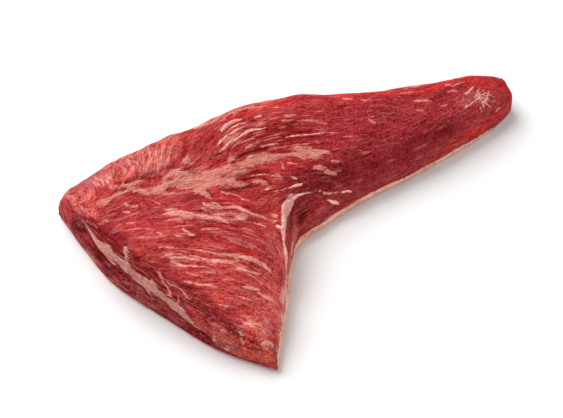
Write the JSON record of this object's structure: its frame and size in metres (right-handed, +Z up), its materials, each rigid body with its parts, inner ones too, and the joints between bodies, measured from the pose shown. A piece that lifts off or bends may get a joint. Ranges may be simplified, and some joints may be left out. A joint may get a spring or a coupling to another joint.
{
  "type": "tri-tip roast",
  "caption": "Raw, trimmed beef roast in one piece: a thick body with a straight cut end, bending round a notch into a long tapering tail, lying flat.",
  "frame": {"origin": "on the board it rests on, under the middle of its bounding box", "axes": "+X along the long side, from the blunt corner of the cut end towards the tip of the tail; +Y towards the long side, away from the notch; +Z up"},
  "size_m": [0.2884, 0.1716, 0.0433],
  "materials": {
    "raw_beef": "moist raw lean with cream-pink fat seams along the grain"
  },
  "bodies": {
    "root": {"roast": "raw_beef"}
  },
  "joints": []
}
